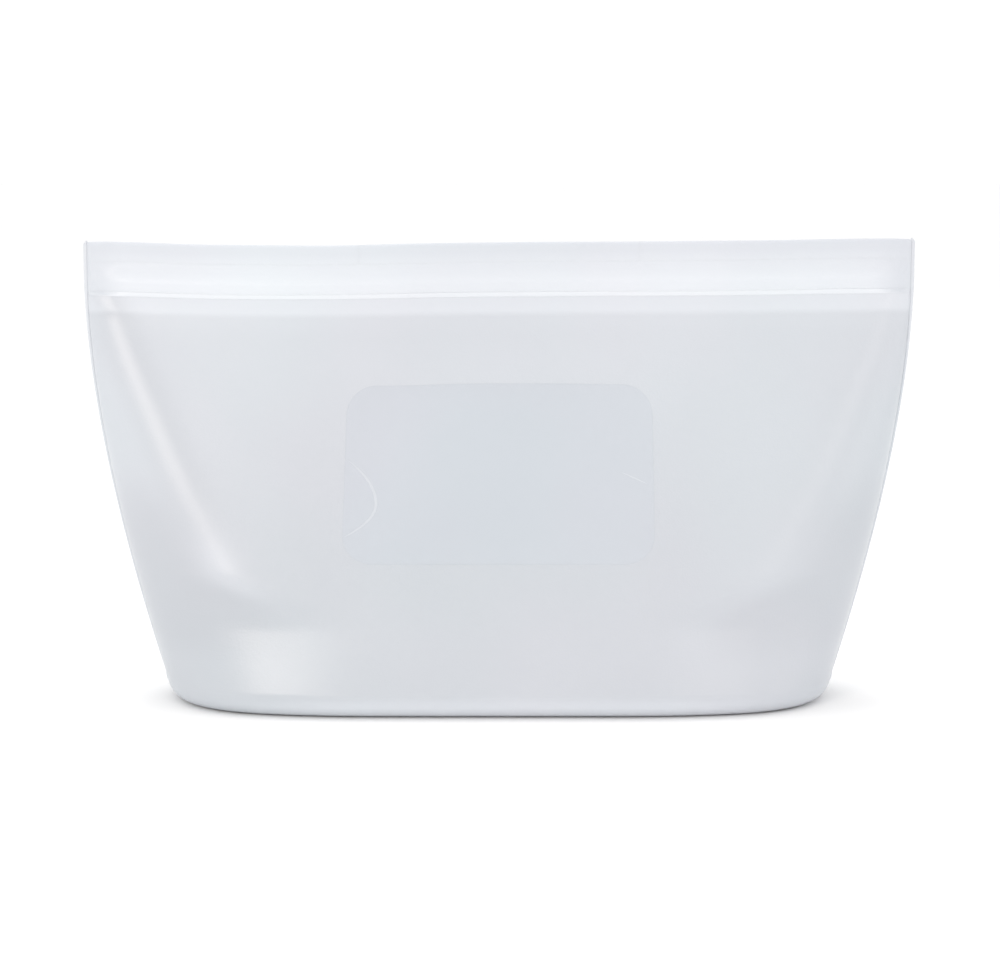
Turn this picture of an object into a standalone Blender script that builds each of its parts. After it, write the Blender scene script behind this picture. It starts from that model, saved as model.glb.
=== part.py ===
# Reusable silicone stand-up storage bag: oval base, two leaning walls that meet
# in a press-to-close zip, grip lips above it and a smooth writing window in front.
# Frame: +X along the width, front wall at -Y, +Z up, underside of the base at Z = 0.
import bpy
import bmesh
import math

MM = 0.001

# ---- driving dimensions (mm) ----
TOP_HALF_WIDTH = 133.0      # half the width over the side welds, at the zip
BOTTOM_DROP = 26.0          # how much narrower each side is at the floor
SIDE_POWER = 1.6            # bow of the side edges
HEIGHT = 147.0
ZIP_FOOT_Z = 131.0          # top of the wall panels
BASE_HALF_DEPTH = 41.0
TOP_HALF_DEPTH = 1.95       # outer half depth where the walls meet
WALL = 1.45                 # wall thickness, measured level
HEEL_RADIUS = 7.0
HEEL_FLAT = 4.5             # flat ring of the heel under the bag
RIDGE_X_BOTTOM = 62.0       # half length of the flat front of the wall at the floor
RIDGE_X_TOP = 124.5         # and at the zip
CORNER_X = 56.0             # low down the front turns early, here
CORNER_Z0, CORNER_Z1 = 26.0, 45.0
FIN_TOP = 3.0               # width of the welded side flange
FIN_BOTTOM = 1.3
FIN_HALF = 1.15
GAP = 0.3
HALF_GAP = 0.15

BEAD_Z0, BEAD_Z1 = 129.75, 131.05   # weld bead under the zip
ZIP_Z0, ZIP_Z1 = 131.35, 140.45     # zip strips
ZIP_BULGE = 3.05
ZIP_EDGE = 1.35
LOCK_Z = 135.9
LOCK_HALF_ROOT, LOCK_HALF_TIP = 1.75, 0.75
LOCK_REACH = 1.7
LOCK_CLEAR = 0.42
LIP_Z0, LIP_THICK = 141.15, 1.1
LIP_AXIS_Z = 140.85

BASE_THICK = 1.6
LABEL_W, LABEL_H, LABEL_R = 98.0, 57.5, 9.5
LABEL_Z = 75.0
LABEL_THICK = 0.5
LABEL_POCKET = 0.8

WALL_HINGE_Z = 7.3
ROWS, ARC, FLAT = 16, 11, 6

for ob in list(bpy.data.objects):
    bpy.data.objects.remove(ob, do_unlink=True)


def clamp(v, lo, hi):
    return max(lo, min(hi, v))


def smooth(t):
    t = clamp(t, 0.0, 1.0)
    return t * t * (3.0 - 2.0 * t)


def half_width(z):
    u = clamp(z / ZIP_FOOT_Z, 0.0, 1.0)
    return TOP_HALF_WIDTH - BOTTOM_DROP * (1.0 - u) ** SIDE_POWER


def fin_width(z):
    return FIN_BOTTOM + (FIN_TOP - FIN_BOTTOM) * smooth(z / 80.0)


def shell_end(z):
    return half_width(z) - fin_width(z)


def half_depth(z):
    t = clamp((z - HEEL_RADIUS) / (ZIP_FOOT_Z - HEEL_RADIUS), 0.0, 1.0)
    return BASE_HALF_DEPTH + (TOP_HALF_DEPTH - BASE_HALF_DEPTH) * t


def corner(z):
    return 1.0 - smooth((z - CORNER_Z0) / (CORNER_Z1 - CORNER_Z0))


def ridge_x(z):
    t = clamp(z / ZIP_FOOT_Z, 0.0, 1.0)
    c = corner(z)
    return (RIDGE_X_BOTTOM + (RIDGE_X_TOP - RIDGE_X_BOTTOM) * t) * (1.0 - c) + CORNER_X * c


def fall(z):
    """Slope of the wall beyond its flat front, before it rounds off to the side."""
    return 0.05 + 0.10 * (1.0 - smooth((z - 24.0) / 36.0))


LEAN = math.atan2(BASE_HALF_DEPTH - TOP_HALF_DEPTH, ZIP_FOOT_Z - HEEL_RADIUS)


def stations():
    """Places along half a wall, from one side weld to the other."""
    st = [("arc", -1, 1.0 - i / ARC) for i in range(ARC)]
    st += [("flat", 0, -1.0 + 2.0 * i / FLAT) for i in range(FLAT + 1)]
    st += [("arc", 1, (i + 1) / ARC) for i in range(ARC)]
    return st


def section(z, inset, side, end_gap):
    """One row of points across a wall at height z, moved inwards by inset."""
    flat, depth = ridge_x(z), half_depth(z) - inset
    reach = shell_end(z) - inset - flat
    row = []
    for kind, s, t in stations():
        if kind == "flat":
            x, y = flat * t, depth
        else:
            a = t * math.pi / 2.0
            x = s * (flat + reach * math.sin(a))
            turn = math.sqrt(max(0.0, 1.0 - math.sin(a) ** (2.15 + 2.15 * corner(z))))
            y = end_gap + max(depth - fall(z) * (abs(x) - flat) - end_gap, 0.0) * turn
        row.append((x, side * y, z))
    return row


def material(name, colour, rough):
    m = bpy.data.materials.new(name)
    m.use_nodes = True
    b = m.node_tree.nodes["Principled BSDF"]
    b.inputs["Base Color"].default_value = (*colour, 1.0)
    b.inputs["Roughness"].default_value = rough
    b.inputs["Metallic"].default_value = 0.0
    return m


def finish_mesh(name, bm, origin, colour, rough):
    bmesh.ops.recalc_face_normals(bm, faces=bm.faces[:])
    for v in bm.verts:
        v.co = [(v.co[k] - origin[k]) * MM for k in range(3)]
    me = bpy.data.meshes.new(name)
    bm.to_mesh(me)
    bm.free()
    ob = bpy.data.objects.new(name, me)
    ob.location = [c * MM for c in origin]
    me.materials.append(material(name + "_mat", colour, rough))
    bpy.context.scene.collection.objects.link(ob)
    return ob


def shell(name, outer, inner, origin, colour, rough, ring=False):
    """A closed body between two matching grids of points."""
    bm = bmesh.new()
    o = [[bm.verts.new(p) for p in row] for row in outer]
    n = [[bm.verts.new(p) for p in row] for row in inner]
    rows, cols = len(o), len(o[0])
    span = cols if ring else cols - 1
    for r in range(rows - 1):
        for c in range(span):
            d = (c + 1) % cols
            bm.faces.new((o[r][c], o[r][d], o[r + 1][d], o[r + 1][c]))
            bm.faces.new((n[r][c], n[r + 1][c], n[r + 1][d], n[r][d]))
    for c in range(span):
        d = (c + 1) % cols
        bm.faces.new((o[0][c], n[0][c], n[0][d], o[0][d]))
        bm.faces.new((o[-1][c], o[-1][d], n[-1][d], n[-1][c]))
    if not ring:
        for r in range(rows - 1):
            bm.faces.new((o[r][0], o[r + 1][0], n[r + 1][0], n[r][0]))
            bm.faces.new((o[r][-1], n[r][-1], n[r + 1][-1], o[r + 1][-1]))
    return finish_mesh(name, bm, origin, colour, rough)


def prism(name, outline, y0, y1, origin, colour, rough):
    """A flat outline in the XZ plane given a thickness along Y."""
    bm = bmesh.new()
    a = [bm.verts.new((x, y0, z)) for x, z in outline]
    face = bm.faces.new(a)
    out = bmesh.ops.extrude_face_region(bm, geom=[face])
    moved = [g for g in out["geom"] if isinstance(g, bmesh.types.BMVert)]
    bmesh.ops.translate(bm, verts=moved, vec=(0.0, y1 - y0, 0.0))
    return finish_mesh(name, bm, origin, colour, rough)


def wall_panel(name, side, origin, colour, rough):
    top = BEAD_Z0 - GAP
    zs = [WALL_HINGE_Z + (top - WALL_HINGE_Z) * i / ROWS for i in range(ROWS + 1)]
    outer = [section(z, 0.0, side, HALF_GAP) for z in zs]
    inner = [section(z, WALL, side, HALF_GAP) for z in zs]
    return shell(name, outer, inner, origin, colour, rough)


def oval(z, inset):
    """A closed loop round the bag at height z."""
    front = section(z, inset, -1, 0.0)
    back = section(z, inset, 1, 0.0)
    return front + back[::-1][1:-1]


def heel_ring(name, colour, rough):
    outer, inner = [], []
    steps = 6
    for i in range(steps + 1):
        a = i / steps * math.pi / 2.0
        inset = HEEL_RADIUS * (1.0 - math.cos(a))
        z = HEEL_RADIUS * (1.0 - math.sin(a))
        outer.append([(x, y, z) for x, y, _ in oval(HEEL_RADIUS, inset)])
        r = HEEL_RADIUS - BASE_THICK
        inset = HEEL_RADIUS - r * math.cos(a)
        z = HEEL_RADIUS - r * math.sin(a)
        inner.append([(x, y, z) for x, y, _ in oval(HEEL_RADIUS, inset)])
    inset = HEEL_RADIUS + HEEL_FLAT
    outer.append([(x, y, 0.0) for x, y, _ in oval(HEEL_RADIUS, inset)])
    inner.append([(x, y, BASE_THICK) for x, y, _ in oval(HEEL_RADIUS, inset)])
    return shell(name, outer, inner, (0, 0, 0), colour, rough, ring=True)


def base_panel(name, colour, rough):
    loop = oval(HEEL_RADIUS, HEEL_RADIUS + HEEL_FLAT + GAP)
    bm = bmesh.new()
    face = bm.faces.new([bm.verts.new((x, y, 0.0)) for x, y, _ in loop])
    out = bmesh.ops.extrude_face_region(bm, geom=[face])
    moved = [g for g in out["geom"] if isinstance(g, bmesh.types.BMVert)]
    bmesh.ops.translate(bm, verts=moved, vec=(0.0, 0.0, BASE_THICK))
    return finish_mesh(name, bm, (0, 0, 0), colour, rough)


def side_seam(name, s, colour, rough):
    z0, z1 = HEEL_RADIUS + GAP, ZIP_FOOT_Z - GAP
    rows = 18
    front, back = [], []
    for i in range(rows + 1):
        z = z0 + (z1 - z0) * i / rows
        x0, x1 = shell_end(z) + GAP, half_width(z)
        xm = x1 - 0.5 * FIN_HALF
        pts = [(x0, FIN_HALF), (xm, FIN_HALF), (x1, 0.45 * FIN_HALF)]
        front.append([(s * x, -y, z) for x, y in pts])
        back.append([(s * x, y, z) for x, y in pts])
    return shell(name, front, back, (0, 0, 0), colour, rough)


def zip_end(name, s, colour, rough):
    x0, x1 = shell_end(ZIP_FOOT_Z) + GAP, TOP_HALF_WIDTH
    c = 0.9
    pts = [(x0, ZIP_FOOT_Z), (x1, ZIP_FOOT_Z), (x1, HEIGHT - c), (x1 - c, HEIGHT), (x0, HEIGHT)]
    return prism(name, [(s * x, z) for x, z in pts], -1.35, 1.35, (0, 0, 0), colour, rough)


def strip_stations(end):
    fine = [0.0, 0.8, 1.6, 2.6, 3.8, 5.2, 7.0]
    xs = [-end + f for f in fine] + [-60.0, 0.0, 60.0] + [end - f for f in reversed(fine)]
    return xs, end


def zip_strip(name, side, lock, origin, colour, rough):
    """Half of the zip: a rounded outer bulge, with a rib (lock 1) or a groove (lock -1) inside."""
    xs, end = strip_stations(shell_end(ZIP_FOOT_Z))
    r0, r1 = LOCK_HALF_ROOT, LOCK_HALF_TIP
    reach = LOCK_REACH
    if lock < 0:
        r0, r1, reach = r0 + LOCK_CLEAR, r1 + LOCK_CLEAR, reach + 0.3
    zs = [ZIP_Z0, (ZIP_Z0 + LOCK_Z - r0) / 2.0, LOCK_Z - r0, LOCK_Z - r1,
          LOCK_Z + r1, LOCK_Z + r0, (ZIP_Z1 + LOCK_Z + r0) / 2.0, ZIP_Z1]
    into = [0.0, 0.0, 0.0, 1.0, 1.0, 0.0, 0.0, 0.0]
    outer, inner = [], []
    for z, k in zip(zs, into):
        half = (ZIP_Z1 - ZIP_Z0) / 2.0
        t = (z - (ZIP_Z0 + ZIP_Z1) / 2.0) / half
        bulge = (1.0 - t * t) ** 0.6 if abs(t) < 1.0 else 0.0
        orow, irow = [], []
        for x in xs:
            near = end - abs(x)
            full = 0.35 + 0.65 * smooth(near / 6.0)
            held = smooth((near - 1.2) / 2.4)
            y = ZIP_EDGE + (ZIP_BULGE - ZIP_EDGE) * bulge * (full if lock > 0 else max(full, 0.45))
            yi = HALF_GAP - lock * k * reach * held
            orow.append((x, side * y, z))
            irow.append((x, side * yi, z))
        outer.append(orow)
        inner.append(irow)
    return shell(name, outer, inner, origin, colour, rough)


def weld_bead(name, side, origin, colour, rough):
    end = shell_end(BEAD_Z0)
    xs = [-end + 2.0 * end * i / 8.0 for i in range(9)]
    zs = [BEAD_Z0, BEAD_Z0 + 0.3, (BEAD_Z0 + BEAD_Z1) / 2.0, BEAD_Z1 - 0.3, BEAD_Z1]
    ys = [1.9, 2.35, 2.5, 2.2, 1.6]
    outer = [[(x, side * y, z) for x in xs] for y, z in zip(ys, zs)]
    inner = [[(x, side * 0.35, z) for x in xs] for z in zs]
    return shell(name, outer, inner, origin, colour, rough)


def lip(name, side, origin, colour, rough):
    end = shell_end(ZIP_FOOT_Z)
    xs = [-end + 2.0 * end * i / 10.0 for i in range(11)]
    zs = [LIP_Z0, LIP_Z0 + 1.0, HEIGHT - 0.8, HEIGHT]
    thick = [LIP_THICK, LIP_THICK, LIP_THICK, LIP_THICK - 0.35]
    outer = [[(x, side * (HALF_GAP + t), z) for x in xs] for t, z in zip(thick, zs)]
    inner = [[(x, side * HALF_GAP, z) for x in xs] for z in zs]
    return shell(name, outer, inner, origin, colour, rough)


def rounded_plate(name, w, h, r, thick, top, origin, colour, rough):
    """A rounded rectangle on the leaning front wall; top is how far its face stands off the wall."""
    outline = []
    for cx, cz, a0 in ((w / 2 - r, h / 2 - r, 0.0), (-w / 2 + r, h / 2 - r, 0.5),
                       (-w / 2 + r, -h / 2 + r, 1.0), (w / 2 - r, -h / 2 + r, 1.5)):
        for i in range(9):
            a = math.pi * (a0 + i / 16.0)
            outline.append((cx + r * math.cos(a), cz + r * math.sin(a)))
    bm = bmesh.new()
    face = bm.faces.new([bm.verts.new((x, -top, z)) for x, z in outline])
    out = bmesh.ops.extrude_face_region(bm, geom=[face])
    moved = [g for g in out["geom"] if isinstance(g, bmesh.types.BMVert)]
    bmesh.ops.translate(bm, verts=moved, vec=(0.0, thick, 0.0))
    cy, cz = -half_depth(LABEL_Z), LABEL_Z
    c, s = math.cos(-LEAN), math.sin(-LEAN)
    for v in bm.verts:
        y, z = v.co.y, v.co.z
        v.co.y = cy + y * c - z * s
        v.co.z = cz + y * s + z * c
    return finish_mesh(name, bm, origin, colour, rough)


FRONT_AXIS = (0.0, -(half_depth(WALL_HINGE_Z) - WALL / 2.0), WALL_HINGE_Z)
REAR_AXIS = (0.0, -FRONT_AXIS[1], WALL_HINGE_Z)
FRONT_LIP_AXIS = (0.0, -(HALF_GAP + LIP_THICK / 2.0), LIP_AXIS_Z)
REAR_LIP_AXIS = (0.0, -FRONT_LIP_AXIS[1], LIP_AXIS_Z)

FROST = (0.80, 0.83, 0.86)
PALE = (0.86, 0.88, 0.90)

# fixed pieces
base_panel("base_panel", FROST, 0.5)
heel_ring("heel_ring", PALE, 0.5)
side_seam("left_side_seam", -1, PALE, 0.45)
side_seam("right_side_seam", 1, PALE, 0.45)
zip_end("left_zip_end", -1, PALE, 0.45)
zip_end("right_zip_end", 1, PALE, 0.45)

# front wall and what is bonded to it
front = wall_panel("front_panel", -1, FRONT_AXIS, FROST, 0.5)
pocket = rounded_plate("label_pocket_cutter", LABEL_W + 2 * GAP, LABEL_H + 2 * GAP, LABEL_R + GAP,
                       LABEL_POCKET + 1.2, 1.2, FRONT_AXIS, FROST, 0.5)
pocket.hide_render = True
pocket.display_type = "WIRE"
cut = front.modifiers.new("label_pocket", "BOOLEAN")
cut.operation = "DIFFERENCE"
cut.solver = "EXACT"
cut.object = pocket
rounded_plate("label_window", LABEL_W, LABEL_H, LABEL_R, LABEL_THICK, 0.0, FRONT_AXIS, (0.74, 0.77, 0.80), 0.25)
weld_bead("front_weld_bead", -1, FRONT_AXIS, PALE, 0.4)
zip_strip("front_zip_rib", -1, 1, FRONT_AXIS, PALE, 0.4)
lip("front_lip", -1, FRONT_LIP_AXIS, FROST, 0.45)

# rear wall and what is bonded to it
wall_panel("rear_panel", 1, REAR_AXIS, FROST, 0.5)
weld_bead("rear_weld_bead", 1, REAR_AXIS, PALE, 0.4)
zip_strip("rear_zip_channel", 1, -1, REAR_AXIS, PALE, 0.4)
lip("rear_lip", 1, REAR_LIP_AXIS, FROST, 0.45)
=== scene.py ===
import math
import bpy
import bmesh
import numpy as np
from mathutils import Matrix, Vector, noise


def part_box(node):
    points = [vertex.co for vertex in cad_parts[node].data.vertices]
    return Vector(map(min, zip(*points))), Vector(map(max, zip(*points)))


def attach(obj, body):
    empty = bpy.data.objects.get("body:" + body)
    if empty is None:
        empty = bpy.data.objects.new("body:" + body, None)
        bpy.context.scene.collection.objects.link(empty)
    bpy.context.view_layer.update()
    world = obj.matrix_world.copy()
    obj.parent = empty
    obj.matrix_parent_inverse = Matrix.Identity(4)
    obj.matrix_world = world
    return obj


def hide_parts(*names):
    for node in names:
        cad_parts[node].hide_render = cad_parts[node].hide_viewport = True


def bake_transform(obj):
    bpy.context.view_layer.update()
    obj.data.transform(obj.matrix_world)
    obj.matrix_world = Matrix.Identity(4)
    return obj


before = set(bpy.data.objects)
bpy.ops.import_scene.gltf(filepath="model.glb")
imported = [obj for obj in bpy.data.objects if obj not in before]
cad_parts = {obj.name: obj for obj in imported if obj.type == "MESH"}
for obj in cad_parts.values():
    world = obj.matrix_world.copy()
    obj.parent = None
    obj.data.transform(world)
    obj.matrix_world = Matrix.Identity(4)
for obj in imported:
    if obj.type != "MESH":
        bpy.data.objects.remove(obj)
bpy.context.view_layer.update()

MM = 0.001


def box_mm(node):
    lo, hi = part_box(node)
    return np.array(lo) * 1000.0, np.array(hi) * 1000.0


# ------------------------------------------------------------------ sizes, read from the frame (mm)
PANEL_LO, PANEL_HI = box_mm("front_panel")
HEEL_LO, HEEL_HI = box_mm("heel_ring")
BASE_LO, BASE_HI = box_mm("base_panel")
BEAD_LO, BEAD_HI = box_mm("front_weld_bead")
ZIP_LO, ZIP_HI = box_mm("front_zip_rib")
LIP_LO, LIP_HI = box_mm("front_lip")
SEAM_LO, SEAM_HI = box_mm("right_side_seam")
END_LO, END_HI = box_mm("right_zip_end")
LAB_LO, LAB_HI = box_mm("label_window")

TOP_HALF = END_HI[0]                 # 133
HEIGHT = LIP_HI[2]                   # 147
HEEL_R = HEEL_HI[2]                  # 7
DEPTH0 = HEEL_HI[1]                  # 41
FOOT_Z = END_LO[2]                   # 131
DROP = 26.0
POWER = 1.6
DEPTH1 = 1.95
WALL = 1.45
RIDGE0, RIDGE1 = 62.0, 124.5
ZIP_END = TOP_HALF - 3.0             # the rib and groove stop here, at the end weld
RIM = 0.75                           # width of the welded rim left proud at each side
EDGE = TOP_HALF - RIM
AXIS_Z = PANEL_LO[2]
LIP_AXIS_Z = 140.85
PLATEAU = 45.0


def sstep(t):
    t = np.clip(t, 0.0, 1.0)
    return t * t * (3.0 - 2.0 * t)


def half_width(z):
    u = np.clip(np.asarray(z, float) / FOOT_Z, 0.0, 1.0)
    return TOP_HALF - DROP * (1.0 - u) ** POWER


def shell_end(z):
    """Where the walls end: they run out to the narrow welded rim."""
    return half_width(z) - RIM


def half_depth(z):
    t = np.clip((np.asarray(z, float) - HEEL_R) / (FOOT_Z - HEEL_R), 0.0, 1.0)
    lin = DEPTH0 + (DEPTH1 - DEPTH0) * t
    # soft turn where the leaning wall comes up under the zip
    return lin + 0.55 * np.exp(-((np.asarray(z, float) - FOOT_Z) / 7.0) ** 2)


def corner(z):
    """1 near the heel, where the front turns early into a wide sloping corner; 0 above it."""
    return 1.0 - sstep((np.asarray(z, float) - 26.0) / 19.0)


def ridge_x(z):
    """Half length of the flat front of a wall, up to the fold that runs down from the zip's end."""
    t = np.clip(np.asarray(z, float) / FOOT_Z, 0.0, 1.0)
    c = corner(z)
    return (RIDGE0 + (RIDGE1 - RIDGE0) * t) * (1.0 - c) + 54.0 * c


def fall(z):
    """Slope of the wall beyond the fold, before it rounds off to the side weld."""
    return 0.042 + 0.108 * (1.0 - sstep((np.asarray(z, float) - 34.0) / 42.0))


def past_fold(x, z):
    """How far a place is beyond the fold, with the fold itself well rounded."""
    z = np.asarray(z, float)
    soft = 1.3 + 1.9 * (1.0 - sstep((z - 55.0) / 55.0)) + 3.2 * corner(z)
    return soft * np.log1p(np.exp(np.clip((np.abs(x) - ridge_x(z)) / soft, -30.0, 30.0)))


# ------------------------------------------------------------------ soft unevenness of the moulded sheet
def fbm(x, y, z, scale, seed):
    p = Vector((x / scale + seed, y / scale - seed * 0.7, z / scale + seed * 0.3))
    return noise.noise(p) + 0.45 * noise.noise(p * 2.1 + Vector((3.1, 7.7, 1.3)))


def dents(x, z, side):
    """Outward swell of a wall (mm) at a place on it; it dies out at every edge."""
    x, z = np.broadcast_arrays(np.asarray(x, float), np.asarray(z, float))
    out = np.zeros(x.shape)
    seed = 11.0 if side < 0 else 29.0
    flat = out.ravel()
    for i, (a, b) in enumerate(zip(x.ravel(), z.ravel())):
        flat[i] = 0.6 * fbm(a, 0.0, b, 85.0, seed) + 0.13 * fbm(a, 5.0, b, 34.0, seed + 5.0)
    out = flat.reshape(x.shape)
    fx = np.abs(x)
    belly = 0.9 * np.exp(-(x / 70.0) ** 2 - ((z - 62.0) / 34.0) ** 2)
    out = out + belly
    edge = sstep((z - AXIS_Z) / 16.0) * sstep((BEAD_LO[2] - z) / 16.0)
    side_fade = sstep((shell_end(z) - fx) / 22.0)
    return out * edge * side_fade


def warp(p):
    """The whole bag is never quite straight: the top edge waves and the zip sways a little."""
    x, y, z = p[..., 0], p[..., 1], p[..., 2]
    up = sstep((z - 95.0) / 45.0)
    mid = 1.0 - (x / (TOP_HALF + 0.5)) ** 2
    lift = 0.55 * np.sin(x / 133.0 * 1.9 + 0.25) - 0.55 * np.exp(-((x + 58.0) / 34.0) ** 2) + 0.1
    lift = lift + 0.9 * sstep((x - 60.0) / 70.0) + 1.0 * sstep((-x - 88.0) / 45.0)
    sway = 0.9 * np.sin(x / 133.0 * math.pi * 1.15 + 0.6) * mid
    ripple = 0.16 * np.sin(x / 9.5 + 0.8) * np.sin(x / 37.0) * sstep((z - 141.0) / 5.0)
    q = p.copy()
    q[..., 2] = z + lift * up + 0.5 * ripple
    q[..., 1] = y + sway * up + ripple * 0.6
    return q


# ------------------------------------------------------------------ mesh helpers
def smooth_all(ob, sharp=60.0):
    me = ob.data
    for poly in me.polygons:
        poly.use_smooth = True
    bm = bmesh.new()
    bm.from_mesh(me)
    bmesh.ops.recalc_face_normals(bm, faces=bm.faces[:])
    lim = math.radians(sharp)
    for e in bm.edges:
        if len(e.link_faces) == 2 and e.calc_face_angle(0.0) > lim:
            e.smooth = False
    bm.to_mesh(me)
    bm.free()
    me.update()


def new_object(name, verts, faces, tone=None, sharp=60.0, inside=None):
    v = warp(np.asarray(verts, float)) * MM
    me = bpy.data.meshes.new(name)
    me.from_pydata([tuple(c) for c in v], [], [tuple(int(i) for i in f) for f in faces])
    ob = bpy.data.objects.new(name, me)
    bpy.context.scene.collection.objects.link(ob)
    smooth_all(ob, sharp)
    t = me.attributes.new("tone", "FLOAT", "POINT")
    t.data.foreach_set("value", (np.zeros(len(v)) if tone is None else np.asarray(tone)).astype(np.float32))
    t = me.attributes.new("inside", "FLOAT", "POINT")
    t.data.foreach_set("value", (np.zeros(len(v)) if inside is None else np.asarray(inside)).astype(np.float32))
    return ob


def shell(name, outer, inner, tone=None, ring=False, sharp=60.0, rounded="none"):
    """Closed body between two matching grids (rows, cols, 3), with rounded rims.
    Returns the object and the rest positions before the warp, in mm."""
    outer, inner = np.asarray(outer, float), np.asarray(inner, float)
    R, C = outer.shape[:2]
    verts = [outer.reshape(-1, 3), inner.reshape(-1, 3)]
    to = None if tone is None else [np.asarray(tone, float).reshape(-1)] * 2
    n = R * C
    idx = np.arange(n).reshape(R, C)
    faces = []

    def quads(a, b, c, d):
        faces.extend(np.stack([a.ravel(), b.ravel(), c.ravel(), d.ravel()], 1).tolist())

    cols = np.arange(C if ring else C - 1)
    nxt = (cols + 1) % C
    for off, flip in ((0, False), (n, True)):
        a, b = idx[:-1][:, cols] + off, idx[:-1][:, nxt] + off
        c, d = idx[1:][:, nxt] + off, idx[1:][:, cols] + off
        quads(a, d, c, b) if flip else quads(a, b, c, d)

    def rim(path, back, closed, grow):
        """path: indices along a border; back: the neighbours further in."""
        nonlocal n_now
        o, i = outer.reshape(-1, 3)[path], inner.reshape(-1, 3)[path]
        mid = (o + i) / 2.0
        out = mid - (outer.reshape(-1, 3)[back] + inner.reshape(-1, 3)[back]) / 2.0
        ln = np.linalg.norm(out, axis=1, keepdims=True)
        th = np.linalg.norm(o - i, axis=1, keepdims=True)
        out = out / np.maximum(ln, 1e-9) * th * 0.5
        rows = [path]
        for k in (30.0, 60.0, 90.0, 120.0, 150.0):
            c, s = math.cos(math.radians(k)), math.sin(math.radians(k))
            verts.append(mid + (o - mid) * c + out * (s * 0.9 * grow)[:, None])
            if to is not None:
                to.append(np.asarray(tone, float).reshape(-1)[path])
            rows.append(np.arange(n_now, n_now + len(path)))
            n_now += len(path)
        rows.append(path + n)
        for r0, r1 in zip(rows, rows[1:]):
            m = len(path)
            ks = np.arange(m if closed else m - 1)
            kn = (ks + 1) % m
            faces.extend(np.stack([r0[ks], r1[ks], r1[kn], r0[kn]], 1).tolist())

    n_now = 2 * n
    if ring:
        rim(idx[0], idx[1], True, np.zeros(C))
        rim(idx[-1], idx[-2], True, np.zeros(C))
    else:
        path = np.concatenate([idx[0, :], idx[1:, -1], idx[-1, -2::-1], idx[-2:0:-1, 0]])
        rr, cc = np.divmod(path, C)
        back = idx[np.clip(rr, 1, R - 2), cc if rounded == "top" else np.clip(cc, 1, C - 2)]
        grow = np.ones(len(path)) if rounded == "all" else (rr == R - 1).astype(float) if rounded == "top" else np.zeros(len(path))
        rim(path, back, True, grow)
    v = np.concatenate(verts)
    t = None if to is None else np.concatenate(to)
    inside = np.zeros(len(v))
    inside[n:2 * n] = 1.0
    ob = new_object(name, v, faces, t, sharp, inside)
    return ob, v


# ------------------------------------------------------------------ weights for how the soft walls would follow the two bodies (bend only bakes the transform)
def follow(v):
    """0 at the side welds and the heel, which stay with the base; 1 over the middle of the wall."""
    x, z = np.abs(v[:, 0]), v[:, 2]
    end = shell_end(np.minimum(z, FOOT_Z)) - 0.4
    t = np.clip((x - PLATEAU) / (end - PLATEAU), 0.0, 1.0)
    # the weight leaves the heel at 0, then rises smoothly, with no crease
    u = np.clip((z - AXIS_Z) / (BEAD_LO[2] - AXIS_Z), 0.0, 1.0)
    return (1.0 - t * t) * (1.0 - (1.0 - u) ** 2.6)


def peel(v):
    """How far each point of a lip's middle follows the peeling hand."""
    x, z = np.abs(v[:, 0]), v[:, 2]
    return sstep((PLATEAU - 2.0 - x) / 30.0) * sstep((z - (LIP_AXIS_Z - 0.3)) / 2.0)


def bend(ob, weights):
    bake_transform(ob)


# ------------------------------------------------------------------ materials
def node(nt, kind, **kw):
    n = nt.nodes.new(kind)
    for k, v in kw.items():
        setattr(n, k, v)
    return n


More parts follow.
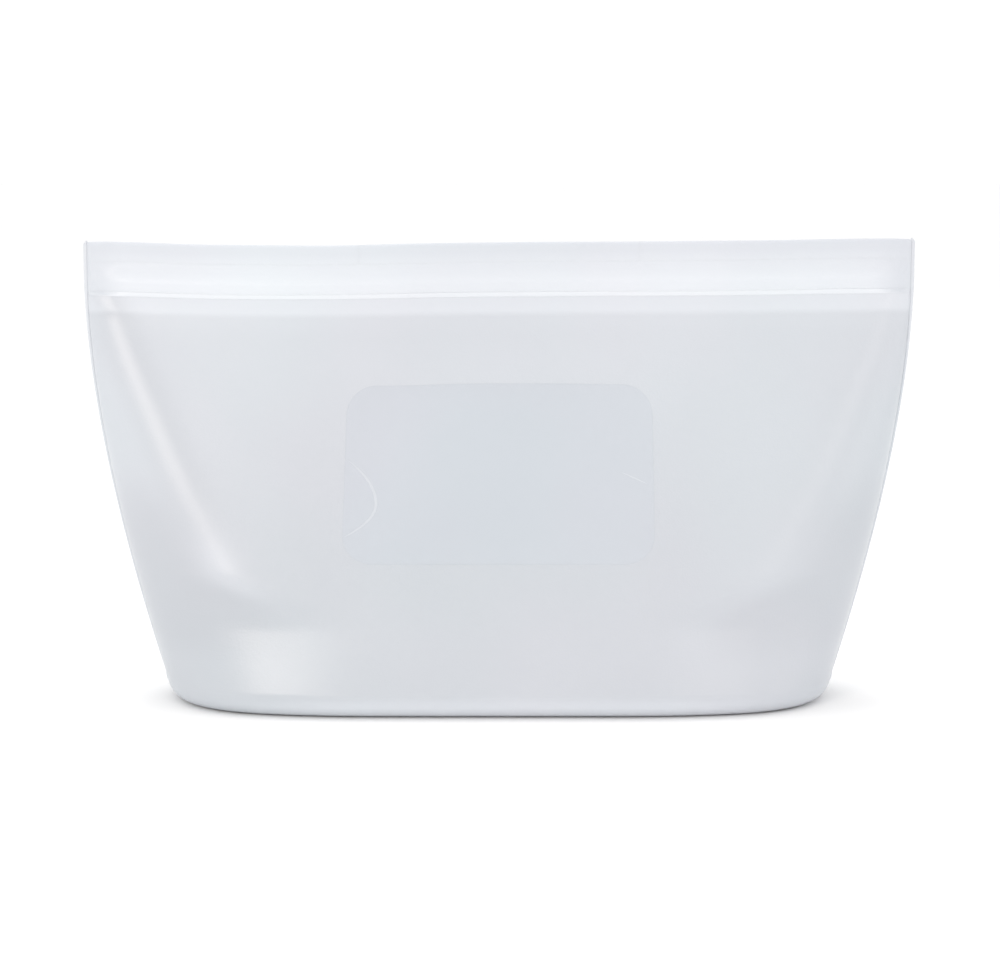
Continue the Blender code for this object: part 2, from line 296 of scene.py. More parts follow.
def silicone(name, dark, light, rough, rough_span=0.012, frost=0.10, sss=0.15, sheen=0.0, cloud=0.35, spec=0.5):
    """Frosted translucent silicone: the tone attribute picks between a thin, greyer film
    and thick, whiter rubber, and on the walls it also carries painted light and painted shade;
    a slow cloud and a fine frost break it up."""
    m = bpy.data.materials.new(name)
    m.use_nodes = True
    nt = m.node_tree
    b = nt.nodes["Principled BSDF"]
    b.inputs["Subsurface Weight"].default_value = sss
    b.inputs["Subsurface Radius"].default_value = (1.0, 1.0, 1.0)
    b.inputs["Subsurface Scale"].default_value = 0.0012
    b.inputs["IOR"].default_value = 1.41
    b.inputs["Specular IOR Level"].default_value = spec
    b.inputs["Sheen Weight"].default_value = sheen
    b.inputs["Sheen Roughness"].default_value = 0.5
    tc = node(nt, "ShaderNodeTexCoord")
    tone = node(nt, "ShaderNodeAttribute", attribute_name="tone")
    cl = node(nt, "ShaderNodeTexNoise")
    cl.inputs["Scale"].default_value = 11.0
    cl.inputs["Detail"].default_value = 2.0
    cl.inputs["Roughness"].default_value = 0.45
    nt.links.new(tc.outputs["Object"], cl.inputs["Vector"])
    cm = node(nt, "ShaderNodeMapRange")
    cm.inputs["From Min"].default_value = 0.3
    cm.inputs["From Max"].default_value = 0.7
    cm.inputs["To Min"].default_value = -cloud
    cm.inputs["To Max"].default_value = cloud
    nt.links.new(cl.outputs["Fac"], cm.inputs["Value"])
    add = node(nt, "ShaderNodeMath", operation="ADD", use_clamp=True)
    nt.links.new(tone.outputs["Fac"], add.inputs[0])
    nt.links.new(cm.outputs["Result"], add.inputs[1])
    ramp = node(nt, "ShaderNodeValToRGB")
    ramp.color_ramp.interpolation = "EASE"
    ramp.color_ramp.elements[0].color = (*dark, 1.0)
    ramp.color_ramp.elements[1].color = (*light, 1.0)
    nt.links.new(add.outputs[0], ramp.inputs["Fac"])
    # cool and warm casts in the rubber
    hue = node(nt, "ShaderNodeTexNoise")
    hue.inputs["Scale"].default_value = 17.0
    hue.inputs["Detail"].default_value = 1.0
    nt.links.new(tc.outputs["Object"], hue.inputs["Vector"])
    hr = node(nt, "ShaderNodeValToRGB")
    hr.color_ramp.elements[0].position = 0.35
    hr.color_ramp.elements[0].color = (0.985, 1.0, 1.0, 1.0)
    hr.color_ramp.elements[1].position = 0.65
    hr.color_ramp.elements[1].color = (1.0, 0.992, 1.0, 1.0)
    nt.links.new(hue.outputs["Fac"], hr.inputs["Fac"])
    mul = node(nt, "ShaderNodeMix", data_type="RGBA", blend_type="MULTIPLY")
    mul.inputs["Factor"].default_value = 1.0
    nt.links.new(ramp.outputs["Color"], mul.inputs["A"])
    nt.links.new(hr.outputs["Color"], mul.inputs["B"])
    # a paler tone inside the bag stands in for the light that comes through the wall behind it
    ins = node(nt, "ShaderNodeAttribute", attribute_name="inside")
    glow = node(nt, "ShaderNodeMix", data_type="RGBA", blend_type="MIX")
    nt.links.new(ins.outputs["Fac"], glow.inputs["Factor"])
    nt.links.new(mul.outputs["Result"], glow.inputs["A"])
    glow.inputs["B"].default_value = (0.86, 0.875, 0.895, 1.0)
    nt.links.new(glow.outputs["Result"], b.inputs["Base Color"])
    # the inside faces of the walls and heel also glow faintly by emission: painted light standing in for light through
    # the wall
    lit = node(nt, "ShaderNodeMix", data_type="RGBA", blend_type="MIX")
    nt.links.new(ins.outputs["Fac"], lit.inputs["Factor"])
    lit.inputs["A"].default_value = (0.0, 0.0, 0.0, 1.0)
    lit.inputs["B"].default_value = (0.90, 0.935, 0.98, 1.0)
    nt.links.new(lit.outputs["Result"], b.inputs["Emission Color"])
    b.inputs["Emission Strength"].default_value = 0.06 if name in ("frosted_wall", "base_rubber") else 0.0
    # roughness: slow patches and fine frost
    rn = node(nt, "ShaderNodeTexNoise")
    rn.inputs["Scale"].default_value = 45.0
    rn.inputs["Detail"].default_value = 4.0
    nt.links.new(tc.outputs["Object"], rn.inputs["Vector"])
    rm = node(nt, "ShaderNodeMapRange")
    rm.inputs["From Min"].default_value = 0.1
    rm.inputs["From Max"].default_value = 0.9
    rm.inputs["To Min"].default_value = rough - rough_span
    rm.inputs["To Max"].default_value = rough + rough_span
    nt.links.new(rn.outputs["Fac"], rm.inputs["Value"])
    nt.links.new(rm.outputs["Result"], b.inputs["Roughness"])
    fr = node(nt, "ShaderNodeTexNoise")
    fr.inputs["Scale"].default_value = 1500.0
    fr.inputs["Detail"].default_value = 2.0
    nt.links.new(tc.outputs["Object"], fr.inputs["Vector"])
    pe = node(nt, "ShaderNodeTexNoise")
    pe.inputs["Scale"].default_value = 160.0
    pe.inputs["Detail"].default_value = 2.0
    nt.links.new(tc.outputs["Object"], pe.inputs["Vector"])
    mixh = node(nt, "ShaderNodeMath", operation="MULTIPLY_ADD")
    mixh.inputs[1].default_value = 0.6
    nt.links.new(pe.outputs["Fac"], mixh.inputs[0])
    nt.links.new(fr.outputs["Fac"], mixh.inputs[2])
    bump = node(nt, "ShaderNodeBump")
    bump.inputs["Strength"].default_value = frost
    bump.inputs["Distance"].default_value = 0.0003
    nt.links.new(mixh.outputs[0], bump.inputs["Height"])
    nt.links.new(bump.outputs["Normal"], b.inputs["Normal"])
    return m


M_WALL = silicone("frosted_wall", (0.479, 0.502, 0.535), (0.632, 0.658, 0.696), 0.32, cloud=0.08, spec=0.8)
M_LABEL = silicone("smooth_window", (0.502, 0.531, 0.572), (0.618, 0.646, 0.687), 0.26, 0.01, 0.02, cloud=0.12)
M_ZIP = silicone("thick_zip", (0.578, 0.606, 0.645), (0.722, 0.750, 0.782), 0.36, cloud=0.10)
M_SEAM = silicone("weld", (0.53, 0.556, 0.59), (0.66, 0.684, 0.715), 0.38, cloud=0.15)
M_BASE = silicone("base_rubber", (0.53, 0.550, 0.580), (0.66, 0.680, 0.71), 0.32, cloud=0.08)


def dress(ob, mat):
    ob.data.materials.clear()
    ob.data.materials.append(mat)


# ------------------------------------------------------------------ walls
def wall_points(z, s, side, inset, end_gap=0.12):
    """Grid of wall points: z rows (R,), s across (C,) from -1 to 1."""
    Z, S = np.meshgrid(z, s, indexing="ij")
    sf = 0.56
    flat = ridge_x(Z)
    depth = half_depth(Z) - inset
    reach = shell_end(Z) - inset - flat
    a = np.clip((np.abs(S) - sf) / (1.0 - sf), 0.0, 1.0) * math.pi / 2.0
    X = np.where(np.abs(S) <= sf, flat * S / sf, np.sign(S) * (flat + reach * np.sin(a)))
    power = 2.15 + 2.15 * corner(Z)
    turn = np.sqrt(np.clip(1.0 - np.sin(a) ** power, 0.0, 1.0))
    Y = end_gap + np.maximum(depth - fall(Z) * past_fold(X, Z) - end_gap, 0.0) * turn
    # the walls are a little thicker in the band under the zip
    Y = Y + (dents(X, Z, side) + 0.14 * sstep((Z - 123.2) / 2.5)) * turn
    return np.stack([X, side * Y, Z], -1)


def heel_row(angle, s, side, inset_extra, radius):
    """A row of the wall where it runs on round the heel; angle 0 is the top of the curve."""
    row = wall_points(np.array([HEEL_R]), s, side, HEEL_R - radius * math.cos(angle) + inset_extra)[0]
    row[:, 2] = HEEL_R - radius * math.sin(angle)
    return row


def wall_y(x, z, side):
    """Outer y (unsigned) of a wall at any x along one height."""
    s = np.linspace(0.0, 1.0, 400)
    p = wall_points(np.array([z]), s, side, 0.0)[0]
    q = wall_points(np.array([z]), -s, side, 0.0)[0]
    yp = np.interp(np.abs(x), p[:, 0], np.abs(p[:, 1]))
    yn = np.interp(np.abs(x), -q[:, 0], np.abs(q[:, 1]))
    return np.where(x >= 0, yp, yn)


def wall(name, side, node_name):
    R, C = ((96, 170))
    z = np.concatenate([HEEL_R + (123.4 - HEEL_R) * np.linspace(0, 1, R), [124.0, 124.4, 124.65, 124.9, 125.15, 125.5],
                        np.linspace(126.2, BEAD_LO[2] + 0.1, 5)])
    s = np.linspace(-1, 1, C)
    angles = np.radians([64.0, 62.0, 58.0, 52.0, 44.0, 35.0, 26.0, 17.0, 8.0])
    thin = [0.25, 0.4, 0.8, 1.2, WALL, WALL, WALL, WALL, WALL]
    low_out = np.array([heel_row(a, s, side, 0.0, HEEL_R) for a in angles])
    low_in = np.array([heel_row(a, s, side, 0.0, HEEL_R - t) for a, t in zip(angles, thin)])
    outer = np.concatenate([low_out, wall_points(z, s, side, 0.0)])
    inner = np.concatenate([low_in, wall_points(z, s, side, WALL)])
    Z = outer[..., 2]
    X = outer[..., 0]
    # painted light: the wall is paler towards the top; it is whiter in the thicker band under the zip, with a paler
    # patch high in the middle and a paler line just under the band
    tone = 0.325 + 0.12 * sstep((Z - 10.0) / 115.0) + 0.34 * sstep((Z - 123.4) / 2.5)
    tone = tone + 0.08 * np.exp(-(X / 62.0) ** 2 - ((Z - 113.0) / 20.0) ** 2)
    tone = tone + 0.055 * np.exp(-((Z - 122.8) / 3.6) ** 2)
    # painted shade: darker beyond the fold on the low and middle wall, where it turns away to the side
    beyond = sstep((np.abs(X) - ridge_x(Z) - 5.0) / 16.0) * sstep((Z - 14.0) / 12.0) * (1.0 - sstep((Z - 50.0) / 32.0))
    tone = tone - 0.11 * beyond
    # painted light along the folds, set by how light or dark they look: painted shade dims the fold high up, a painted
    # highlight lifts it low down and low near the corners, and the outer part is painted paler; most on the left of
    # the front wall
    off = np.abs(X) - ridge_x(Z)
    along = np.exp(-((off - 1.0) / 5.5) ** 2) * sstep((Z - 50.0) / 30.0) * (1.0 + 0.9 * sstep((Z - 120.0) / 5.0))
    fold_painted_highlight = np.exp(-((off - 4.5) / 6.5) ** 2) * sstep((Z - 34.0) / 8.0) * (1.0 - sstep((Z - 47.0) / 14.0))
    painted_light_weight = 0.12 + (0.88 if side < 0 else 0.0) * (1.0 - sstep((X + 40.0) / 60.0))
    outer_painted_light = sstep((off - 7.0) / 9.0) * sstep((Z - 58.0) / 20.0) * (1.0 - sstep((Z - 121.0) / 3.0))
    foot_painted_highlight = np.exp(-((np.abs(X) - 68.0) / 17.0) ** 2 - ((Z - 21.0) / 11.0) ** 2)
    tone = tone - painted_light_weight * (0.20 * along - 0.22 * fold_painted_highlight) + (0.04 + 0.10 * painted_light_weight) * outer_painted_light
    tone = tone + (0.02 + 0.06 * painted_light_weight) * foot_painted_highlight
    # painted light: the wall is paler where it runs round the heel, lifting the shade on its down-facing curve, most
    # of all in the middle
    tone = tone + (0.62 - 0.40 * sstep((np.abs(X) - 50.0) / 45.0)) * sstep((HEEL_R + 1.5 - Z) / 6.0)
    ob, v = shell(name, outer, inner, tone)
    dress(ob, M_WALL)
    bend(ob, follow(v))
    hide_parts(node_name)
    return ob


front_wall = wall("front_wall_skin", -1, "front_panel")
rear_wall = wall("rear_wall_skin", 1, "rear_panel")


# ------------------------------------------------------------------ smooth writing window
def wall_face(x, z, side=-1):
    """y of the wall's outer face in its flat part."""
    return side * (half_depth(z) - fall(z) * past_fold(x, z) + dents(x, z, side))


def window():
    w, h = (LAB_HI[0] - LAB_LO[0]) / 2.0, None
    lean = math.atan2(DEPTH0 - DEPTH1, FOOT_Z - HEEL_R)
    h = (LAB_HI[2] - LAB_LO[2]) / 2.0 / math.cos(lean)
    cz = (LAB_HI[2] + LAB_LO[2]) / 2.0
    r = 9.5
    outline = []
    per = 14
    corners = ((w - r, h - r, 0.0), (-w + r, h - r, 0.5), (-w + r, -h + r, 1.0), (w - r, -h + r, 1.5))
    for k, (cx, cy, a0) in enumerate(corners):
        for i in range(per):
            a = math.pi * (a0 + 0.5 * i / (per - 1))
            outline.append((cx + r * math.cos(a), cy + r * math.sin(a)))
        nx, ny, na = corners[(k + 1) % 4]
        ex, ey = cx + r * math.cos(math.pi * (a0 + 0.5)), cy + r * math.sin(math.pi * (a0 + 0.5))
        sx, sy = nx + r * math.cos(math.pi * na), ny + r * math.sin(math.pi * na)
        for i in range(1, 16):
            t = i / 16.0
            outline.append((ex + (sx - ex) * t, ey + (sy - ey) * t))
    outline = np.array(outline)
    rings = [1.0, 0.994, 0.985, 0.96] + list(np.linspace(0.92, 0.06, 14))
    off = [0.004, 0.012, 0.018, 0.02] + [0.02] * 14
    verts, faces = [], []
    n = len(outline)
    for sc, o in zip(rings, off):
        # shrink evenly from the outline, not towards the centre, near the rim
        if sc > 0.9:
            d = (1.0 - sc) * w
            q = outline * np.array([(w - d) / w, (h - d) / h])
        else:
            q = outline * sc
        bow = 0.55 * (1.0 - (q[:, 0] / w) ** 2) * np.clip(q[:, 1] / h, 0, 1)
        dip = 0.45 * np.exp(-((q[:, 0] + 31.0) / 15.0) ** 2) * sstep(q[:, 1] / h)
        q = np.stack([q[:, 0] - np.where(q[:, 0] < 0, -0.7, 0.25) * (q[:, 0] / w) * (q[:, 1] / h) * np.sign(q[:, 0]), q[:, 1]], 1)
        z = cz + (q[:, 1] + bow - dip) * math.cos(lean)
        y = wall_face(q[:, 0], z) - o
        verts.append(np.stack([q[:, 0], y, z], -1))
    for k in range(len(rings) - 1):
        a0, b0 = k * n, (k + 1) * n
        for i in range(n):
            j = (i + 1) % n
            faces.append((a0 + i, a0 + j, b0 + j, b0 + i))
    c = len(rings) * n
    z = np.array([cz])
    verts.append(np.array([[0.0, wall_face(np.array([0.0]), z)[0] - 0.04, cz]]))
    last = (len(rings) - 1) * n
    for i in range(n):
        faces.append((last + i, last + (i + 1) % n, c))
    # closed at the back, just inside the wall
    base = c + 1
    back = verts[0].copy()
    back[:, 1] += 0.35
    verts.append(back)
    for i in range(n):
        j = (i + 1) % n
        faces.append((i, base + i, base + j, j))
    bc = base + n
    verts.append(np.array([[0.0, back[:, 1].mean(), cz]]))
    for i in range(n):
        faces.append((base + (i + 1) % n, base + i, bc))
    v = np.concatenate(verts)
    tone = np.full(len(v), 0.30)
    ob = new_object("writing_window", v, faces, tone, 40.0)
    dress(ob, M_LABEL)
    bend(ob, follow(v))
    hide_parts("label_window")
    return ob


window()


def mark(name, points, width, proud):
    """A faint raised line left on the window by its mould: a slim lens lying along points (x, z)."""
    pts = np.asarray(points, float)
    d = np.gradient(pts, axis=0)
    d /= np.linalg.norm(d, axis=1, keepdims=True)
    nrm = np.stack([-d[:, 1], d[:, 0]], 1)
    taper = np.sin(np.linspace(0.0, math.pi, len(pts))) ** 0.5 * 0.9 + 0.1
    across_u = np.array([-1.0, -0.5, 0.0, 0.5, 1.0])
    rows_o, rows_i = [], []
    for u in across_u:
        p = pts + nrm * (u * width / 2.0 * taper)[:, None]
        y = wall_face(p[:, 0], p[:, 1])
        rise = 0.02 + proud * (1.0 - u * u) * taper
        rows_o.append(np.stack([p[:, 0], y - rise, p[:, 1]], -1))
        rows_i.append(np.stack([p[:, 0], y + 0.10, p[:, 1]], -1))
    ob, v = shell(name, np.array(rows_o), np.array(rows_i), np.full((5, len(pts)), 0.76))
    dress(ob, M_LABEL)
    bend(ob, follow(v))


z_arc = LAB_HI[2] - np.linspace(23.4, 46.7, 31)
arc_mid = LAB_HI[2] - 36.6
arc_x = -38.9 - np.where(z_arc > arc_mid, 0.050, 0.098) * (z_arc - arc_mid) ** 2
mark("window_mark_arc", np.stack([arc_x, z_arc], 1), 0.85, 0.020)
mark("window_mark_line", np.stack([np.linspace(38.9, 46.8, 12), LAB_HI[2] - np.linspace(26.9, 30.4, 12)], 1), 0.45, 0.02)


# ------------------------------------------------------------------ zip, beads and lips
def across(end, n=120, fine=10.0):
    core = np.linspace(-end + fine, end - fine, n)
    e = np.linspace(0.0, fine, 14)[:-1]
    return np.concatenate([-end + e, core, (end - e)[::-1]])


def strip(name, side, zs, y_out, y_in, end, mat, stands_for, taper=None, tone=0.5, x=None, weights=follow, rounded="none"):
    """A long strip: y_out(x, k) and y_in(x, k) give its two faces at each height zs[k]."""
    x = across(end) if x is None else x
    R = len(zs)
    outer = np.zeros((R, len(x), 3))
    inner = np.zeros((R, len(x), 3))
    for k in range(R):
        outer[k, :, 0] = inner[k, :, 0] = x
        outer[k, :, 2] = inner[k, :, 2] = zs[k]
        outer[k, :, 1] = side * y_out(x, k)
        inner[k, :, 1] = side * y_in(x, k)
    tn = np.full((R, len(x)), tone) if np.isscalar(tone) else tone(x, np.asarray(zs))
    ob, v = shell(name, outer, inner, tn, rounded=rounded)
    dress(ob, mat)
    bend(ob, weights(v))
    if stands_for:
        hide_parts(*stands_for)
    return ob


LOCK_Z = 135.9


LIP_T = LIP_HI[1] - LIP_LO[1]


def lip_face(x, z):
    """Outer y (unsigned) of the thin band above the zip; it rounds off at the side edges."""
    up = np.clip((z - 141.0) / (HEIGHT - 141.0), 0.0, 1.0)
    near = np.clip(EDGE - np.abs(x), 0.0, 1.6) / 1.6
    pressed = 0.80 + 0.20 * sstep((EDGE - np.abs(x) - 1.5) / 5.0)
    return (1.25 - 0.12 * up) * pressed * (0.5 + 0.5 * np.sqrt(1.0 - (1.0 - near) ** 2))


def zip_strip(name, side, lock, node_name):
    z0, z1 = ZIP_LO[2] - 0.25, ZIP_HI[2] + 0.85
    r0, r1 = 1.75, 0.75
    if lock < 0:
        r0, r1 = r0 + 0.42, r1 + 0.42
    knots = [z0, z0 + 0.5, z0 + 1.2, (z0 + LOCK_Z - r0) / 2, LOCK_Z - r0 - 0.15, LOCK_Z - r0 + 0.1]
    knots += [LOCK_Z - (r0 + r1) / 2, LOCK_Z - r1 - 0.05, LOCK_Z - r1 + 0.3, LOCK_Z, LOCK_Z + r1 - 0.3, LOCK_Z + r1 + 0.05]
    knots += [LOCK_Z + (r0 + r1) / 2, LOCK_Z + r0 - 0.1, LOCK_Z + r0 + 0.15, (z1 + LOCK_Z + r0) / 2, z1 - 1.2, z1 - 0.5, z1 - 0.35, z1]
    depth = [0, 0, 0, 0, 0, 0.12, 0.5, 0.88, 1, 1, 1, 0.88, 0.5, 0.12, 0, 0, 0, 0, 0, 0]

    def y_out(x, k):
        # fullest low down, then a long soft slope up into the lip, under which its edge tucks
        z = knots[k]
        crest = z0 + 2.6
        top = z1 - 0.5
        t = (z - crest) / (2.6 if z < crest else top - crest)
        prof = 0.90 + 0.10 * math.sqrt(max(0.0, 1.0 - t * t)) if t < 0 else 0.5 + 0.5 * math.cos(math.pi * min(1.0, t))
        near = EDGE - np.abs(x)
        full = sstep((near - 2.0) / 11.0)
        lump = 1.0 + 0.05 * np.sin(x / 23.0 + side) + 0.03 * np.sin(x / 7.0 + 1.3)
        tuck = {len(knots) - 1: -0.08, len(knots) - 2: -0.006}.get(k, 0.0)
        return lip_face(x, z) + 1.84 * prof * full * lump + tuck

    def y_in(x, k):
        # the rib and the groove run out before the end weld, where the bulge over them thins
        near = ZIP_END - np.abs(x)
        room = np.maximum(1.0 + 1.84 * sstep((EDGE - np.abs(x) - 2.0) / 11.0) - 0.85, 0.0)
        groove = np.minimum(2.0, room) * sstep((near - 1.2) / 2.4)
        deep = groove if lock < 0 else np.maximum(groove - 0.3, 0.0)
        return 0.15 - lock * depth[k] * deep

    def tone(x, zs):
        near = EDGE - np.abs(x)[None, :]
        up = (0.5 + 0.5 * np.cos(np.pi * np.clip((zs - 134.0) / 7.0, 0.0, 1.0)))[:, None]
        return 0.30 + (0.20 + 0.14 * up) * sstep((near - 1.0) / 14.0)

    return strip(name, side, knots, y_out, y_in, EDGE, M_ZIP, [node_name], tone=tone)


zip_strip("front_zip_skin", -1, 1, "front_zip_rib")
zip_strip("rear_zip_skin", 1, -1, "rear_zip_channel")


def bead(name, side, node_name):
    z0, z1 = BEAD_LO[2] - 0.1, ZIP_LO[2]
    zs = np.concatenate([[z0, z0 + 0.25], np.linspace(z0 + 0.45, z1 - 0.35, 7), [z1 - 0.15, z1]])
    low = BEAD_LO[2]
    rise = 0.5 + 0.5 * np.cos(np.pi * np.clip((zs - low) / (z1 - low), 0.0, 1.0))

    def y_out(x, k):
        near = EDGE - np.abs(x)
        wall_side = wall_y(np.clip(np.abs(x), 0.0, float(shell_end(low)) - 0.02) * np.sign(x + 1e-9), low, side)
        zip_side = lip_face(x, z1) + 1.84 * 0.94 * sstep((near - 2.0) / 11.0)
        t = (zs[k] - (z0 + z1) / 2) / ((z1 - z0) / 2)
        proud = 0.11 * max(0.0, 1.0 - t * t) ** 0.7 * sstep((near - 3.0) / 9.0)
        tuck = -0.08 if k in (0, len(zs) - 1) else 0.0
        return wall_side * rise[k] + zip_side * (1.0 - rise[k]) + proud + tuck

    def y_in(x, k):
        return np.full(len(x), 0.13)

    def tone(x, zz):
        near = EDGE - np.abs(x)[None, :]
        return np.broadcast_to(0.40 + 0.36 * sstep((near - 3.0) / 9.0), (len(zz), len(x))).copy()

    return strip(name, side, zs, y_out, y_in, EDGE, M_ZIP, [node_name], tone=tone)


bead("front_weld_skin", -1, "front_weld_bead")
bead("rear_weld_skin", 1, "rear_weld_bead")


def lips(prefix, side, node_name):
    z0, z1 = LIP_LO[2] - 0.75, HEIGHT
    zs = [z0, z0 + 0.2, z0 + 0.45, z0 + 0.8, z0 + 1.6, z0 + 2.6, z0 + 3.8, z0 + 5.0, z1 - 0.9, z1 - 0.45]
    sunk = [-0.05, -0.02, 0.0, 0.0, 0.0, 0.0, 0.0, 0.0, 0.0, 0.0]
    end = EDGE

    def part(x, k):
        up = (zs[k] - z0) / (z1 - z0)
        return 0.35 * np.exp(-((x + 20.0 * side) / 55.0) ** 2) * up ** 1.5

    def y_out(x, k):
        return lip_face(x, zs[k]) + sunk[k] + part(x, k)

    def y_in(x, k):
        return 0.14 + part(x, k)

    def tone(x, zz):
        up = ((zz - z0) / (z1 - z0))[:, None]
        near = EDGE - np.abs(x)[None, :]
        return np.broadcast_to(0.50 - 0.16 * sstep(up * 1.4), (len(zz), len(x))) * (0.70 + 0.30 * sstep((near - 1.0) / 12.0))

    full = across(end)
    p = PLATEAU
    mid = np.linspace(-p, p, 61)
    left = np.concatenate([full[full < -p - 0.3], [-p + 0.03]])
    right = np.concatenate([[p - 0.03], full[full > p + 0.3]])
    strip(prefix + "_mid", side, zs, y_out, y_in, end, M_ZIP, [node_name], tone=tone, x=mid, weights=peel, rounded="top")
    strip(prefix + "_left", side, zs, y_out, y_in, end, M_ZIP, [], tone=tone, x=left, rounded="top")
    strip(prefix + "_right", side, zs, y_out, y_in, end, M_ZIP, [], tone=tone, x=right, rounded="top")


lips("front_lip_skin", -1, "front_lip")
lips("rear_lip_skin", 1, "rear_lip")


# ------------------------------------------------------------------ side welds
def seam(name, s, nodes):
    """The two walls' welded edge: a thin web between them and a narrow rounded rim outside."""
    z = np.concatenate([HEEL_R * (1.0 - np.sin(np.radians(np.linspace(66.0, 6.0, 12)))), np.linspace(HEEL_R, 24.0, 16),
                        np.linspace(26.0, FOOT_Z - 3.0, 60), np.linspace(FOOT_Z - 2.0, HEIGHT - 2.6, 26),
                        np.linspace(HEIGHT - 2.2, HEIGHT - 0.35, 7)])
    low = np.clip(HEEL_R - z, 0.0, HEEL_R)
    cut = HEEL_R - np.sqrt(HEEL_R ** 2 - low ** 2)
    x_out = half_width(np.maximum(z, HEEL_R)) - cut
    x_edge = x_out - RIM
    up = sstep((z - (FOOT_Z - 4.0)) / 6.0)
    # the top corner is rounded off
    r = 1.3
    over = np.clip(z - (HEIGHT - r), 0.0, r)
    x_out = x_out - (r - np.sqrt(r * r - over ** 2)) * 0.6
    web, full = 0.09, 0.55 + 0.18 * up
    cols = [(x_edge - 2.2, web), (x_edge - 0.9, web), (x_edge - 0.35, web + 0.02), (x_edge - 0.12, full * 0.86),
            (x_edge + 0.25 * RIM, full), (x_edge + 0.6 * RIM, full * 0.92), (x_out - 0.12, full * 0.7)]
    X = np.stack([np.minimum(c[0], x_out - 0.05 * (len(cols) - i)) for i, c in enumerate(cols)], 1)
    th = np.stack([np.broadcast_to(c[1], z.shape) for c in cols], 1).astype(float)
    Z = np.repeat(z[:, None], len(cols), 1)
    front = np.stack([s * X, -th, Z], -1)
    back = np.stack([s * X, th, Z], -1)
    tone = np.broadcast_to(np.linspace(0.25, 0.75, len(cols))[None, :], X.shape)
    ob, v = shell(name, front, back, tone, rounded="all")
    dress(ob, M_SEAM)
    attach(ob, "base")
    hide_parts(*nodes)
    return ob


seam("left_weld_skin", -1, ["left_side_seam", "left_zip_end"])
seam("right_weld_skin", 1, ["right_side_seam", "right_zip_end"])


# ------------------------------------------------------------------ heel and base
def oval(z, inset, n):
    s = np.linspace(-1, 1, n)
    f = wall_points(np.array([z]), s, -1, inset, 0.0)[0]
    r = wall_points(np.array([z]), s[::-1], 1, inset, 0.0)[0]
    return np.concatenate([f, r[1:-1]])


def oval_flat(inset, n):
    """Like oval, without the dents, at the heel."""
    return oval(HEEL_R, inset, n)


def heel():
    """The moulded ring under the walls: they lap over it outside, and it laps over them inside."""
    n = 170
    outer, inner, tone = [], [], []
    steps = 14
    rise = AXIS_Z + 0.9
    o = oval(rise, 0.5, n)
    q = oval(rise, WALL + 0.12, n)
    outer.append(o)
    inner.append(q)
    tone.append(np.full(len(o), 0.30))
    for i in range(steps + 1):
        a = i / steps * math.pi / 2.0
        under = 0.5 - 0.42 * float(sstep((math.degrees(a) - 50.0) / 16.0)) - 0.08 * float(sstep((math.degrees(a) - 66.0) / 8.0))
        rr = HEEL_R - under
        o = oval(HEEL_R, HEEL_R - rr * math.cos(a), n)
        o[:, 2] = HEEL_R - rr * math.sin(a)
        rr = HEEL_R - WALL - 0.15
        q = oval(HEEL_R, HEEL_R - rr * math.cos(a), n)
        q[:, 2] = HEEL_R - rr * math.sin(a)
        outer.append(o)
        inner.append(q)
        tone.append(np.full(len(o), 0.30))
    o = oval(HEEL_R, HEEL_R + 4.4, n)
    o[:, 2] = 0.0
    q = oval(HEEL_R, HEEL_R + 4.4, n)
    q[:, 2] = 1.6
    outer.append(o)
    inner.append(q)
    tone.append(np.full(len(o), 0.34))
    ob, v = shell("heel_skin", np.array(outer), np.array(inner), np.array(tone), ring=True)
    dress(ob, M_BASE)
    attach(ob, "base")
    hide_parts("heel_ring")


def base():
    n = 120
    insets = [HEEL_R + 4.6, HEEL_R + 5.4, HEEL_R + 6.4, HEEL_R + 8.0, HEEL_R + 12.0, HEEL_R + 18.0, HEEL_R + 26.0, HEEL_R + 33.0]
    under = [0.05, 0.05, 0.35, 0.6, 0.6, 0.6, 0.6, 0.6]
    over = [1.55, 1.55, 1.6, 1.75, 1.8, 1.8, 1.8, 1.8]
    outer, inner = [], []
    for i, lo, hi in zip(insets, under, over):
        p = oval(HEEL_R, i, n)
        a, b = p.copy(), p.copy()
        a[:, 2], b[:, 2] = lo, hi
        outer.append(a)
        inner.append(b)
    O, I = np.array(outer), np.array(inner)
    k, c = O.shape[:2]
    verts = np.concatenate([O.reshape(-1, 3), I.reshape(-1, 3)])
    faces = []
    m = k * c
    for r in range(k - 1):
        for i in range(c):
            j = (i + 1) % c
            faces.append((r * c + i, r * c + j, (r + 1) * c + j, (r + 1) * c + i))
            faces.append((m + r * c + i, m + (r + 1) * c + i, m + (r + 1) * c + j, m + r * c + j))
    for i in range(c):
        j = (i + 1) % c
        faces.append((i, m + i, m + j, j))
    # the middle is closed by a strip of quads between the front and rear halves of the last ring
    half = c // 2 + 1
    for off, flip in (((k - 1) * c, False), (m + (k - 1) * c, True)):
        for i in range(half - 1):
            a, b = off + i, off + i + 1
            d, e = off + (c - i) % c, off + (c - i - 1) % c
            if i == 0:
                f = [a, b, e]
            elif b == e:
                f = [a, b, d]
            else:
                f = [a, b, e, d]
            faces.append(tuple(f[::-1] if flip else f))
    ob = new_object("base_skin", verts, faces, np.full(len(verts), 0.35), 50.0)
    dress(ob, M_BASE)
    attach(ob, "base")
    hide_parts("base_panel")


heel()
base()

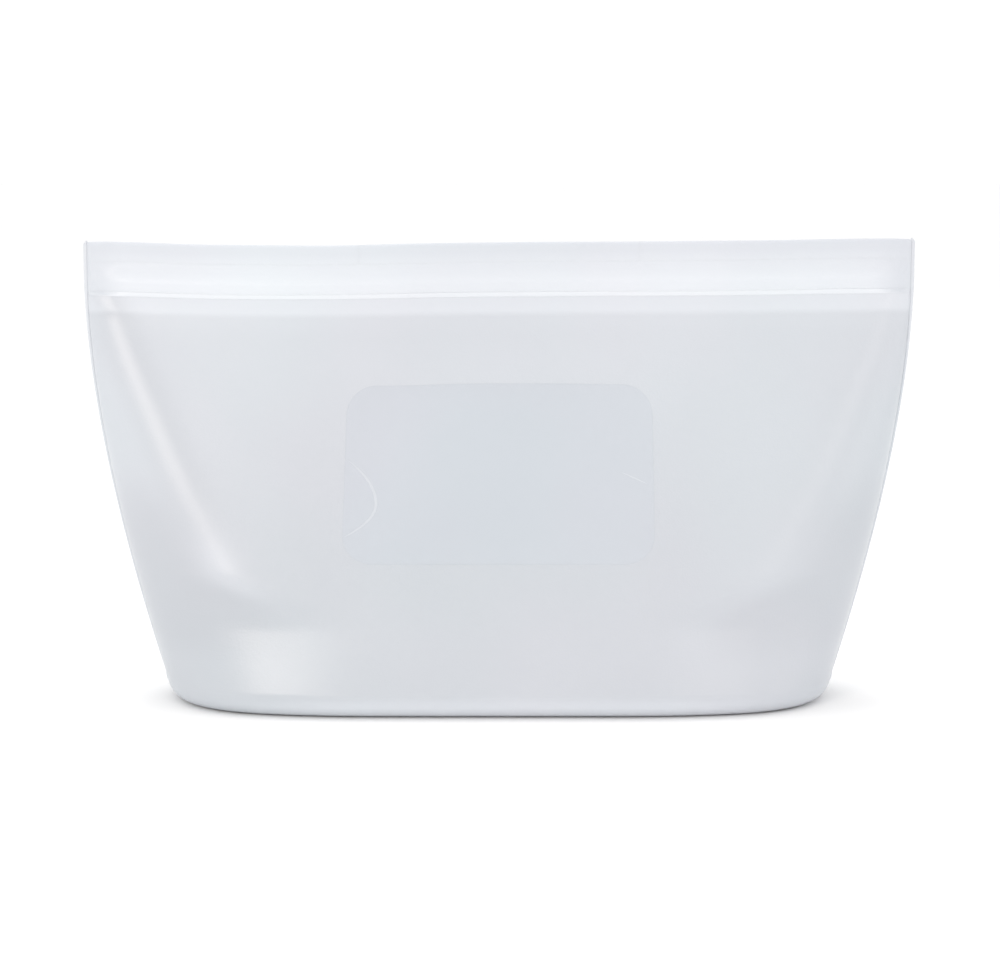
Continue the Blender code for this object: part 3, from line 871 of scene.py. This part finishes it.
# ------------------------------------------------------------------ stage, light, camera
def area(name, loc, target, size, power, colour=(1, 1, 1), size_y=None):
    l = bpy.data.lights.new(name, "AREA")
    l.shape = "RECTANGLE"
    l.size = size
    l.size_y = size_y or size
    l.energy = power
    l.color = colour
    o = bpy.data.objects.new(name, l)
    o.location = loc
    o.rotation_mode = "QUATERNION"
    o.rotation_quaternion = (Vector(target) - Vector(loc)).to_track_quat("-Z", "Y")
    bpy.context.scene.collection.objects.link(o)
    return o


scene = bpy.context.scene
me = bpy.data.meshes.new("floor")
S = 8.0
me.from_pydata([(-S, -S, -0.0001), (S, -S, -0.0001), (S, S, -0.0001), (-S, S, -0.0001)], [], [(0, 1, 2, 3)])
floor = bpy.data.objects.new("floor", me)
scene.collection.objects.link(floor)
fm = bpy.data.materials.new("floor_white")
fm.use_nodes = True
fb = fm.node_tree.nodes["Principled BSDF"]
fb.inputs["Base Color"].default_value = (0.95, 0.95, 0.95, 1)
fb.inputs["Roughness"].default_value = 0.9
fb.inputs["Specular IOR Level"].default_value = 0.1
me.materials.append(fm)

world = bpy.data.worlds.new("studio")
world.use_nodes = True
world.node_tree.nodes["Background"].inputs["Color"].default_value = (1.0, 1.0, 1.0, 1)
world.node_tree.nodes["Background"].inputs["Strength"].default_value = 1.06
scene.world = world

area("key_left", (-0.56, -1.02, 0.50), (0.0, 0.0, 0.05), 0.34, 2.3, (1.0, 0.905, 0.84), size_y=0.14)
area("top_back", (-0.15, 0.35, 1.3), (0.0, 0.0, 0.0), 0.8, 3.5)
area("fill_right", (0.52, -1.0, 0.50), (0.0, 0.0, 0.06), 0.30, 0.6, (1.0, 0.90, 0.86))
area("side_right", (1.1, -0.55, 0.40), (0.0, 0.0, 0.07), 0.8, 0.8, (1.0, 0.95, 0.93))

cam_data = bpy.data.cameras.new("camera")
cam = bpy.data.objects.new("camera", cam_data)
scene.collection.objects.link(cam)
scene.camera = cam
ELEV = math.radians(8.0)
DIST = 0.80
AIM = Vector((0.0003, 0.0, 0.0711))
cam.location = AIM + Vector((0.0, -math.cos(ELEV), math.sin(ELEV))) * DIST
cam.rotation_mode = "QUATERNION"
cam.rotation_quaternion = (AIM - cam.location).to_track_quat("-Z", "Y")
cam_data.sensor_width = 36.0
cam_data.lens = 36.0 * DIST / 0.3249
cam_data.clip_start = 0.01
cam_data.clip_end = 100.0
cam_data.dof.use_dof = False

scene.view_settings.view_transform = "Standard"
scene.view_settings.look = "None"
